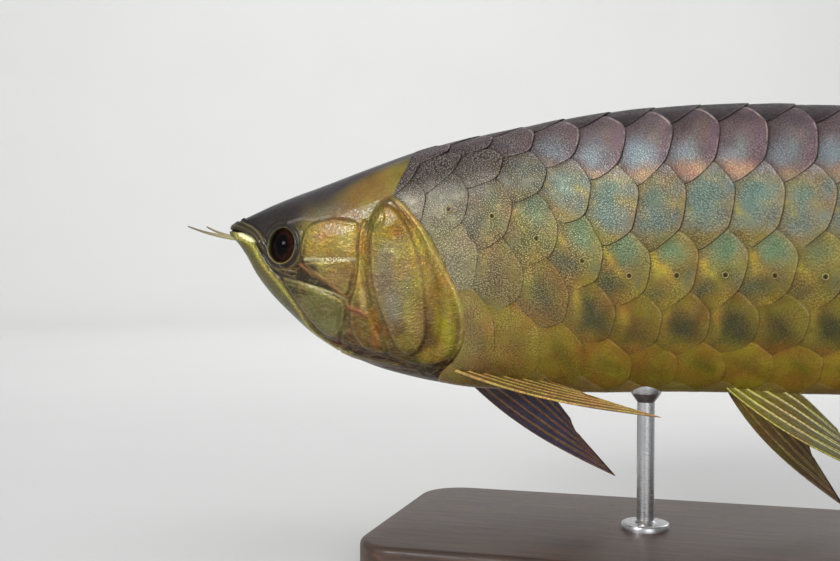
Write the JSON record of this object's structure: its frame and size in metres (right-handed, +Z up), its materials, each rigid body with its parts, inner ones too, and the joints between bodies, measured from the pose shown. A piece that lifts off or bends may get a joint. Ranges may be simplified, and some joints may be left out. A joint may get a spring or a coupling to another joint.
{
  "type": "asian arowana",
  "caption": "Life-size display model of a large-scaled freshwater fish, swimming level with fins spread, held over a flat base by short rods.",
  "frame": {"origin": "middle of the stand base's underside, on the surface that it rests on", "axes": "-X toward the snout, +X toward the tail fin, -Y on the fish's left side, +Z up"},
  "size_m": [0.5913, 0.136, 0.2174],
  "materials": {
    "head_skin": "satin, pearly",
    "jaw_skin": "satin, pearly",
    "gill_cover": "satin gold",
    "eye": "wet gloss",
    "barbel": "satin",
    "scales": "satin, pearly, granular",
    "fin": "satin, finely rayed",
    "stand_wood": "dark, satin",
    "stand_steel": "brushed"
  },
  "bodies": {
    "root": {"head": "head_skin", "lower_jaw": "jaw_skin", "gill_cover_left": "gill_cover", "gill_cover_right": "gill_cover", "eye_left": "eye", "eye_right": "eye", "barbel_left": "barbel", "barbel_right": "barbel", "trunk": "scales", "tail": "scales", "dorsal_fin": "fin", "anal_fin": "fin", "tail_fin": "fin", "pectoral_fin_left": "fin", "pectoral_fin_right": "fin", "pelvic_fin_left": "fin", "pelvic_fin_right": "fin", "stand_base": "stand_wood", "stand_rod_front": "stand_steel", "stand_rod_rear": "stand_steel"}
  },
  "joints": []
}
